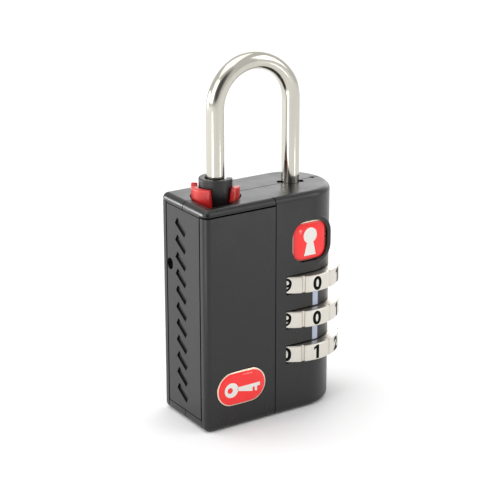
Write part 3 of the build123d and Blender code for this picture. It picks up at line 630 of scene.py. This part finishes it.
class PADLOCK_OT_shackle(bpy.types.Operator):
    """Make the polished shackle wire with eased ends"""

    bl_idname = "padlock.shackle"
    bl_label = "Shackle"

    def execute(self, context):
        radius = (WIRE_HIGH.y - WIRE_LOW.y) / 2
        bend = (DIAL_X - TOE_X) / 2
        middle_x = (DIAL_X + TOE_X) / 2
        bend_z = WIRE_HIGH.z - radius - bend
        toe_end = CASE_TOP + TOE_GAP
        ends = smooth_step(np.linspace(0, 1, 12)) * END_LENGTH
        leg_z = np.concatenate([WIRE_LOW.z + ends, np.linspace(WIRE_LOW.z + MM, bend_z, 60)[:-1]])
        toe_z = np.concatenate([toe_end + ends, np.linspace(toe_end + MM, bend_z, 30)[:-1]])
        turn = np.linspace(0, math.pi, 97)
        bow_x = middle_x + bend * np.cos(turn)
        bow_z = bend_z + bend * np.sin(turn)
        x = np.concatenate([np.full(len(leg_z), DIAL_X), bow_x, np.full(len(toe_z), TOE_X)])
        z = np.concatenate([leg_z, bow_z, toe_z[::-1]])
        lean = np.concatenate([np.zeros(len(leg_z)), turn, np.full(len(toe_z), math.pi)])
        normals = np.stack([np.cos(lean), np.zeros(len(lean)), np.sin(lean)], axis=-1)
        centres = np.stack([x, np.zeros(len(x)), z], axis=-1)
        from_leg_end = np.where(x > middle_x, z - WIRE_LOW.z, 1.0)
        from_toe_end = np.where(x < middle_x, z - toe_end, 1.0)
        ease = np.clip(np.minimum(from_leg_end, from_toe_end) / END_LENGTH, 0, 1)
        radii = radius - END_DEPTH * (1 - np.sqrt(1 - (1 - ease) ** 2))
        rings = swept_wire(centres, normals, radii)
        first = np.repeat(centres[:1, None], rings.shape[1], axis=1)
        last = np.repeat(centres[-1:, None], rings.shape[1], axis=1)
        rings = np.concatenate([first, rings, last])
        mesh = grid_mesh("shackle_wire", rings, close_rows=False, close_columns=True)
        piece("shackle_wire", mesh, FINISHES["wire"], "shackle", ["shackle"])
        return {"FINISHED"}


class PADLOCK_OT_fins(bpy.types.Operator):
    """Make the pairs of locking fins on the long leg"""

    bl_idname = "padlock.fins"
    bl_label = "Locking fins"

    def execute(self, context):
        wide, high = FIN_HALF_WIDTH, FIN_HALF_HEIGHT
        corners = [(-wide, -high), (wide, -high), (wide, high), (-wide, high)]
        outline = rounded_outline(corners, FIN_ROUNDING) * MM
        along = FIN_REACH[:, None]
        width = outline[None, :, 0] * FIN_SHRINK[:, None]
        height = outline[None, :, 1] * FIN_SHRINK[:, None]
        x = DIAL_X + along * math.cos(FIN_TURN) - width * math.sin(FIN_TURN)
        y = along * math.sin(FIN_TURN) + width * math.cos(FIN_TURN)
        for name in WHEELS:
            centre_z = JOINTS[name + "_turn"]["pos_m"][2] - FIN_DROP
            rings = np.stack([x, y, centre_z + height], axis=-1)
            mesh = grid_mesh(name + "_fin", capped(rings), close_rows=False, close_columns=True)
            piece("fin_" + name, mesh, FINISHES["wire"], "shackle")
        return {"FINISHED"}


class PADLOCK_OT_springs(bpy.types.Operator):
    """Make the coil springs in the places of the CAD springs"""

    bl_idname = "padlock.springs"
    bl_label = "Coil springs"

    def execute(self, context):
        for node, (joint, wire, turns, fixed_end) in SPRINGS.items():
            low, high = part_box(node)
            centre = ((low.x + high.x) / 2, (low.y + high.y) / 2)
            radius = (high.x - low.x) / 2 - wire * MM
            rings = coiled_wire(centre, low.z, high.z, radius, wire * MM, turns)
            mesh = grid_mesh(node + "_coil", capped(rings), close_rows=False, close_columns=True)
            coil = piece(node + "_coil", mesh, FINISHES["steel"], "case", [node])
            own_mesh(coil)
        return {"FINISHED"}


class PADLOCK_OT_wheels(bpy.types.Operator):
    """Make the three number wheels with grooves between their digits"""

    bl_idname = "padlock.wheels"
    bl_label = "Number wheels"

    def execute(self, context):
        sizes = context.scene.padlock_wheels
        angles = full_turn(720)
        for name in WHEELS:
            low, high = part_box(name)
            outer = (high.x - low.x) / 2
            half = (high.z - low.z) / 2
            corners = [(WHEEL_BORE, -half), (outer, -half), (outer, half), (WHEEL_BORE, half)]
            easing = [WHEEL_BORE_EDGE, sizes.edge, sizes.edge, WHEEL_BORE_EDGE]
            outline = rounded_outline(corners, easing, EASING_STEPS)
            rim_points = [[outer, -half * 0.3], [outer, half * 0.3]]
            outline = np.insert(outline, 2 * (EASING_STEPS + 1), rim_points, axis=0)
            shown = SHOWN_DIGITS[name]
            pitch = 2 * math.pi / DIGIT_COUNT
            phase = (angles - FRONT_ANGLE) / pitch
            from_groove = np.abs(phase - np.floor(phase) - 0.5) * pitch * outer
            share = np.clip(1 - (from_groove / (sizes.groove_width / 2)) ** 2, 0, 1)
            depth = sizes.groove_depth * np.sqrt(share)
            outside = smooth_step((outline[:, 0] - (outer - GROOVE_FLOOR)) / GROOVE_FADE)
            wheel = np.repeat(outline[None], len(angles), axis=0)
            wheel[..., 0] -= depth[:, None] * outside[None]
            centre = JOINTS[name + "_turn"]["pos_m"]
            mesh = grid_mesh(name + "_wheel", turned(wheel, angles, centre), close_columns=True, sharp=30.0)
            piece(name + "_wheel", mesh, FINISHES["wheel"], name, [name])
            self.digits(name, centre, outer, shown, sizes)
        return {"FINISHED"}

    def digits(self, name, centre, radius, shown, sizes):
        """Bend flat numerals round the wheel: across becomes angle, thickness becomes radius."""
        meshes = []
        for digit in range(DIGIT_COUNT):
            flat = numeral_mesh(str(digit), sizes.digit_height, sizes.digit_weight)
            points = np.empty(len(flat.vertices) * 3)
            flat.vertices.foreach_get("co", points)
            points = points.reshape(-1, 3)
            middle = FRONT_ANGLE + 2 * math.pi * (digit - shown) / DIGIT_COUNT
            middle -= math.radians(sizes.digit_turn)
            angle = middle + points[:, 0] / radius
            distance = radius + sizes.digit_lift * np.sign(points[:, 2])
            x = centre[0] + distance * np.cos(angle)
            y = centre[1] + distance * np.sin(angle)
            bent = np.stack([x, y, centre[2] + points[:, 1]], axis=-1)
            flat.vertices.foreach_set("co", bent.ravel())
            meshes.append(flat)
        joined = joined_mesh(name + "_digits", meshes)
        piece(name + "_digits", joined, FINISHES["ink"], name)


def eased_path(start, control, end, count=14):
    """Points of p (1-t)^2 + 2 c t (1-t) + q t^2 from p to q, drawn towards c."""
    t = np.linspace(0, 1, count)[:, None]
    start, control, end = (np.array(point) for point in (start, control, end))
    return start * (1 - t) ** 2 + 2 * control * t * (1 - t) + end * t**2


def figure_one():
    """A stem with a short flag."""
    stem = [(0.0, 0.0), (0.16, 0.0), (0.16, 0.7), (0.05, 0.7)]
    flag = [(-0.13, 0.6), (-0.13, 0.47), (0.0, 0.53)]
    return [np.array(stem + flag)]


def figure_six():
    """A round bowl with a hole, and a stem that leaves its left side and curls over it."""
    centre = np.array([0.0, 0.225])
    around = np.radians(np.linspace(98, -180, 48))
    bowl = centre + 0.235 * np.stack([np.cos(around), np.sin(around)], axis=-1)
    outside = eased_path((-0.236, 0.24), (-0.225, 0.62), (0.12, 0.715))
    inside = eased_path((0.16, 0.60), (-0.03, 0.56), (-0.085, 0.43))
    return [np.vstack([outside, inside, bowl]), circle_points(centre, 0.105, 32)]


def figure_nine():
    """The six turned upside down."""
    return [-contour for contour in figure_six()]


OWN_FIGURES = {"1": figure_one, "6": figure_six, "9": figure_nine}


def filled_curve(name, contours):
    """A flat curve object's data, filled between closed contours."""
    curve = bpy.data.curves.new(name, "CURVE")
    curve.dimensions = "2D"
    curve.fill_mode = "BOTH"
    for contour in contours:
        spline = curve.splines.new("POLY")
        spline.points.add(len(contour) - 1)
        flat = np.column_stack([contour, np.zeros(len(contour)), np.ones(len(contour))])
        spline.points.foreach_set("co", flat.ravel())
        spline.use_cyclic_u = True
    return curve


def curve_mesh(curve):
    """The mesh of a curve, made through a holder object that is removed afterwards."""
    holder = bpy.data.objects.new("outline", curve)
    bpy.context.scene.collection.objects.link(holder)
    bpy.context.view_layer.update()
    mesh = bpy.data.meshes.new_from_object(holder)
    bpy.data.objects.remove(holder)
    return mesh


def cut_fine(mesh, longest, rounds):
    """Triangles halved until no edge is longer than the given length, or the rounds are used up."""
    work = bmesh.new()
    work.from_mesh(mesh)
    bmesh.ops.remove_doubles(work, verts=work.verts, dist=longest * 1e-4)
    bmesh.ops.triangulate(work, faces=work.faces)
    for _ in range(rounds):
        long_edges = [edge for edge in work.edges if edge.calc_length() > longest]
        if not long_edges:
            break
        bmesh.ops.subdivide_edges(work, edges=long_edges, cuts=1)
        bmesh.ops.triangulate(work, faces=work.faces)
    work.to_mesh(mesh)
    work.free()
    points = np.empty(len(mesh.vertices) * 3)
    mesh.vertices.foreach_get("co", points)
    return points.reshape(-1, 3)


def numeral_mesh(text, height, weight):
    """A flat numeral with a little thickness, centred on its own middle and cut fine enough to bend."""
    if text in OWN_FIGURES:
        curve = filled_curve("numeral", OWN_FIGURES[text]())
    else:
        curve = bpy.data.curves.new("numeral", "FONT")
        curve.body = text
        curve.offset = weight
        curve.resolution_u = 6
    curve.extrude = 0.01
    mesh = curve_mesh(curve)
    points = cut_fine(mesh, 0.12, 2)
    low, high = points.min(axis=0), points.max(axis=0)
    scale = height / (high[1] - low[1])
    points = (points - (low + high) / 2) * scale
    mesh.vertices.foreach_set("co", points.ravel())
    return mesh


def joined_mesh(name, meshes):
    """Several meshes as one."""
    work = bmesh.new()
    for mesh in meshes:
        work.from_mesh(mesh)
        bpy.data.meshes.remove(mesh)
    joined = bpy.data.meshes.new(name)
    bmesh.ops.recalc_face_normals(work, faces=work.faces)
    work.to_mesh(joined)
    work.free()
    return joined


class PADLOCK_OT_collar(bpy.types.Operator):
    """Make the slotted collar round the toe"""

    bl_idname = "padlock.collar"
    bl_label = "Toe collar"

    def execute(self, context):
        sizes = context.scene.padlock_collar
        low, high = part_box("toe_collar")
        outer = (high.y - low.y) / 2
        bore = sizes.bore
        seat = CASE_TOP + sizes.seat
        angles = full_turn(360)
        slot_half = math.asin(sizes.slot / outer)
        open_part = smooth_step((slot_half - angle_gap(angles, 0.0)) / COLLAR_SLOT_SOFTNESS + 0.5)
        top = high.z - (high.z - seat - COLLAR_SLOT_FLOOR) * open_part
        rings = []
        for rim in np.unique(top):
            corners = [(0, seat), (bore, seat), (bore, rim), (outer, rim), (outer, low.z), (0, low.z)]
            ease = min(COLLAR_RIM_EASE, 0.45 * (rim - seat))
            easing = [0, 0, ease, ease, COLLAR_FOOT_EASE, 0]
            rings.append(rounded_outline(corners, easing, EASING_STEPS, closed=False))
        rings = np.array(rings)[np.searchsorted(np.unique(top), top)]
        points = turned(rings, angles, (TOE_X, 0.0, 0.0))
        mesh = grid_mesh("toe_collar_shell", points, sharp=35.0)
        piece("toe_collar_shell", mesh, FINISHES["collar"], "key_plug", ["toe_collar"])
        return {"FINISHED"}


class PADLOCK_OT_indicator(bpy.types.Operator):
    """Make the red indicator ring with its two raised wings"""

    bl_idname = "padlock.indicator"
    bl_label = "Indicator"

    def execute(self, context):
        sizes = context.scene.padlock_collar
        low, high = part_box("indicator_ring")
        outer = (high.x - low.x) / 2
        inner = sizes.inner
        shoulder = low.z + sizes.base
        wing_top = high.z - sizes.horn
        angles = full_turn(720)
        left_wing, right_wing, horn = (soft_sector(angles, *part) for part in (LEFT_WING, RIGHT_WING, HORN))
        raised = np.maximum(np.sqrt(left_wing), np.sqrt(right_wing))
        top = shoulder + (wing_top - shoulder) * raised + (high.z - wing_top) * horn
        unit = rounded_outline([(0, 0), (1, 0), (1, 1), (0, 1)], RING_EASE, EASING_STEPS)
        radius = inner + (outer - inner) * unit[:, 0]
        ease = RING_EASE * MM
        raw = unit[:, 1]
        lower = low.z + ease * raw / RING_EASE
        upper = top[:, None] - ease * (1 - raw)[None] / RING_EASE
        height = np.where(raw[None] < 0.5, lower[None], upper)
        outline = np.stack([np.broadcast_to(radius, height.shape), height], axis=-1)
        points = turned(outline, angles, (TOE_X, 0.0, 0.0))
        mesh = grid_mesh("indicator_wings", points, close_columns=True, sharp=45.0)
        finish = FINISHES["indicator"]
        piece("indicator_wings", mesh, finish, "indicator", ["indicator_ring"])
        return {"FINISHED"}


def dome_depth(share, rise):
    """Height of the clear dome at a share of the way to its edge: rise (1 - s^4)^(1/2)."""
    return rise * np.sqrt(np.clip(1 - share**4, 0, 1))


def badge_surface(name, outline, centre, depth_from, rise, shares):
    """A closed cushion: rings of the outline shrunk by each share, lifted by the dome's height."""
    x, z = outline
    share = shares[:, None]
    y = np.broadcast_to(depth_from - dome_depth(share, rise), (len(shares), len(x)))
    points = np.stack([centre[0] + share * x, y, centre[1] + share * z], axis=-1)
    back = np.stack([centre[0] + x, np.full(len(x), depth_from + BADGE_BACK), centre[1] + z], axis=-1)
    hub = np.broadcast_to([centre[0], depth_from + BADGE_BACK, centre[1]], back.shape)
    points = np.concatenate([points, back[None], hub[None]])
    return grid_mesh(name, points, close_rows=False, close_columns=True, sharp=50.0)


def laid_sign(name, contour_sets, centre, half_sizes, power, depth_from, rise, lift):
    """A flat sign cut from closed contours and laid on the dome, a little proud of it."""
    mesh = curve_mesh(filled_curve(name, contour_sets))
    points = cut_fine(mesh, 0.25 * MM, 5)
    parts = (np.abs(points[:, :2]) / half_sizes) ** power
    share = parts.sum(axis=1) ** (1 / power)
    y = depth_from - dome_depth(share, rise) - lift
    placed = np.stack([centre[0] + points[:, 0], y, centre[1] + points[:, 1]], axis=-1)
    mesh.vertices.foreach_set("co", placed.ravel())
    mesh.polygons.foreach_set("use_smooth", np.ones(len(mesh.polygons), dtype=bool))
    return mesh


def circle_points(centre, radius, count=64):
    """Points round a circle."""
    angles = full_turn(count)
    return np.stack([centre[0] + radius * np.cos(angles), centre[1] + radius * np.sin(angles)], axis=-1)


def keyhole_contour(size):
    """A keyhole: most of a circle over a flared slot."""
    angles = np.linspace(math.radians(-62), math.radians(242), 56)
    head = np.stack([0.27 * size * np.cos(angles), 0.2 * size + 0.27 * size * np.sin(angles)], axis=-1)
    foot = np.array([(-0.24, -0.5), (0.24, -0.5)]) * size
    return [np.vstack([head, foot])]


def key_contours(length):
    """A key: a round bow with a hole, a straight blade and two bits."""
    bow = circle_points((-0.32 * length, 0.0), 0.19 * length)
    hole = circle_points((-0.36 * length, 0.0), 0.075 * length, 32)
    bits = [(0.28, -0.045), (0.28, -0.15), (0.345, -0.15), (0.345, -0.045)]
    more = [(0.415, -0.045), (0.415, -0.17), (0.48, -0.17), (0.48, -0.045)]
    outline = [(-0.15, -0.045), *bits, *more, (0.5, -0.045), (0.5, 0.045), (-0.15, 0.045)]
    return [bow, hole, np.array(outline) * length]


class PADLOCK_OT_badges(bpy.types.Operator):
    """Make the two domed badges with their metal edges and plain signs"""

    bl_idname = "padlock.badges"
    bl_label = "Badges"

    def execute(self, context):
        sizes = context.scene.padlock_badges
        self.make("dial_badge", BADGE_POWER, keyhole_contour, sizes)
        self.make("key_badge", None, key_contours, sizes)
        return {"FINISHED"}

    def make(self, name, power, sign_maker, sizes):
        """One badge in the place of its CAD plate and dome."""
        low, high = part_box(name + "_plate")
        front = low.y
        half_width, half_height = (high.x - low.x) / 2, (high.z - low.z) / 2
        centre = ((low.x + high.x) / 2, (low.z + high.z) / 2)
        angles = full_turn(256)
        shrink = sizes.edge
        if power:
            rim = superellipse(half_width, half_height, power, angles)
            face = superellipse(half_width - shrink, half_height - shrink, power, angles)
            span = half_height * 2
        else:
            rim = stadium(half_width, half_height, angles)
            face = stadium(half_width - shrink, half_height - shrink, angles)
            span = half_width * 2
        outer_shares = 1 - 0.1 * (1 - smooth_step(np.linspace(0, 1, 12))[1:])
        shares = np.concatenate([np.linspace(0, 0.9, 16), outer_shares])
        edge = badge_surface(name + "_edge", rim, centre, front + EDGE_STAND, EDGE_RISE, shares)
        piece(name + "_edge", edge, FINISHES["badge_edge"], "case", [name + "_plate"])
        dome = badge_surface(name + "_enamel", face, centre, front, sizes.rise, shares)
        piece(name + "_enamel", dome, FINISHES["enamel"], "case", [name + "_dome"])
        half_sizes = (half_width - shrink, half_height - shrink)
        contours = sign_maker(span * SIGN_SHARE)
        dome_power = power or KEY_SIGN_POWER
        heights = (front, sizes.rise, sizes.sign_lift)
        sign = laid_sign(name + "_sign", contours, centre, half_sizes, dome_power, *heights)
        piece(name + "_sign", sign, FINISHES["pictogram"], "case")


class PADLOCK_OT_stage(bpy.types.Operator):
    """Make the pale floor, the soft lights and the camera"""

    bl_idname = "padlock.stage"
    bl_label = "Stage"

    def execute(self, context):
        settings = context.scene.padlock_stage
        self.floor(settings)
        for name, place, size, power, turn in LIGHTS:
            self.light(name, place, size, getattr(settings, power), turn)
        world = bpy.data.worlds.new("even_sky")
        context.scene.world = world
        self.sky(world, settings)
        context.scene.view_settings.view_transform = "Standard"
        data = bpy.data.cameras.new("camera")
        data.lens = FOCAL_LENGTH
        data.sensor_width = 36.0
        data.clip_start = 0.01
        data.clip_end = 20.0
        camera = bpy.data.objects.new("camera", data)
        camera.location = CAMERA_PLACE
        camera.rotation_euler = (math.radians(90 - CAMERA_DOWN), 0.0, math.radians(CAMERA_TURN))
        context.scene.collection.objects.link(camera)
        context.scene.camera = camera
        return {"FINISHED"}

    def sky(self, world, settings):
        """An even sky, dimmer on the camera's side, so that metal has something to mirror."""
        world.use_nodes = True
        tree = world.node_tree
        direction = tree.nodes.new("ShaderNodeTexCoord").outputs["Generated"]
        along = tree.nodes.new("ShaderNodeVectorMath")
        along.operation = "DOT_PRODUCT"
        along.inputs[1].default_value = DIM_SKY
        tree.links.new(direction, along.inputs[0])
        dimmed = range_node(tree, along.outputs["Value"], 0.82, 0.96, settings.sky, settings.sky_front)
        behind = tree.nodes.new("ShaderNodeVectorMath")
        behind.operation = "DOT_PRODUCT"
        behind.inputs[1].default_value = BRIGHT_SKY
        tree.links.new(direction, behind.inputs[0])
        added = range_node(tree, behind.outputs["Value"], 0.86, 0.99, 0.0, settings.sky_back)
        strength = math_node(tree, "ADD", dimmed, added)
        background = tree.nodes["Background"]
        background.inputs["Color"].default_value = (1.0, 1.0, 1.0, 1.0)
        tree.links.new(strength, background.inputs["Strength"])

    def floor(self, settings):
        """A large pale floor with a very faint mottle."""
        steps = np.linspace(-FLOOR_HALF, FLOOR_HALF, 3)
        x, y = np.meshgrid(steps, steps, indexing="ij")
        points = np.stack([x, y, np.full(x.shape, -FLOOR_DROP)], axis=-1)
        mesh = grid_mesh("pale_floor", points, close_rows=False)
        material, tree, shader = new_material("floor_board", Roughness=0.8, Specular_IOR_Level=0.2)
        cloud = noise_node(tree, object_vector(tree), 14.0, 2.0)
        tone = shade_mix(tree, cloud, tinted(settings.floor, 0.995), tinted(settings.floor, 1.0))
        tree.links.new(tone, shader.inputs["Base Color"])
        floor = bpy.data.objects.new("pale_floor", mesh)
        mesh.materials.append(material)
        bpy.context.scene.collection.objects.link(floor)

    def light(self, name, place, size, power, turn):
        """A soft rectangular light that faces the padlock, or has the given turn."""
        data = bpy.data.lights.new(name, "AREA")
        data.shape = "RECTANGLE"
        data.size, data.size_y = size
        data.energy = power
        lamp = bpy.data.objects.new(name, data)
        lamp.location = place
        aim = np.array(LIT_POINT) - np.array(place)
        lean = math.atan2(math.hypot(aim[0], aim[1]), -aim[2])
        lamp.rotation_euler = turn or (lean, 0.0, math.atan2(aim[1], aim[0]) - math.pi / 2)
        bpy.context.scene.collection.objects.link(lamp)


class PADLOCK_PT_panel(bpy.types.Panel):
    """Lists the padlock's operators"""

    bl_idname = "PADLOCK_PT_panel"
    bl_label = "Padlock"
    bl_space_type = "VIEW_3D"
    bl_region_type = "UI"
    bl_category = "Padlock"

    def draw(self, context):
        for operator in OPERATORS:
            self.layout.operator(operator.bl_idname)


SETTINGS = {
    "padlock_colours": PadlockColours,
    "padlock_wheels": WheelSizes,
    "padlock_collar": CollarSizes,
    "padlock_badges": BadgeSizes,
    "padlock_stage": StageSettings,
}
OPERATORS = (
    PADLOCK_OT_finishes,
    PADLOCK_OT_shackle,
    PADLOCK_OT_fins,
    PADLOCK_OT_springs,
    PADLOCK_OT_wheels,
    PADLOCK_OT_collar,
    PADLOCK_OT_indicator,
    PADLOCK_OT_badges,
    PADLOCK_OT_stage,
)


def register():
    """Register the settings, the operators and the panel."""
    for name, group in SETTINGS.items():
        bpy.utils.register_class(group)
        setattr(bpy.types.Scene, name, bpy.props.PointerProperty(type=group))
    for operator in OPERATORS:
        bpy.utils.register_class(operator)
    bpy.utils.register_class(PADLOCK_PT_panel)


def unregister():
    """Remove what register added."""
    bpy.utils.unregister_class(PADLOCK_PT_panel)
    for operator in reversed(OPERATORS):
        bpy.utils.unregister_class(operator)
    for name, group in SETTINGS.items():
        delattr(bpy.types.Scene, name)
        bpy.utils.unregister_class(group)


def main():
    register()
    bpy.ops.padlock.finishes()
    bpy.ops.padlock.shackle()
    bpy.ops.padlock.fins()
    bpy.ops.padlock.springs()
    bpy.ops.padlock.wheels()
    bpy.ops.padlock.collar()
    bpy.ops.padlock.indicator()
    bpy.ops.padlock.badges()
    bpy.ops.padlock.stage()


if __name__ == "__main__":
    main()
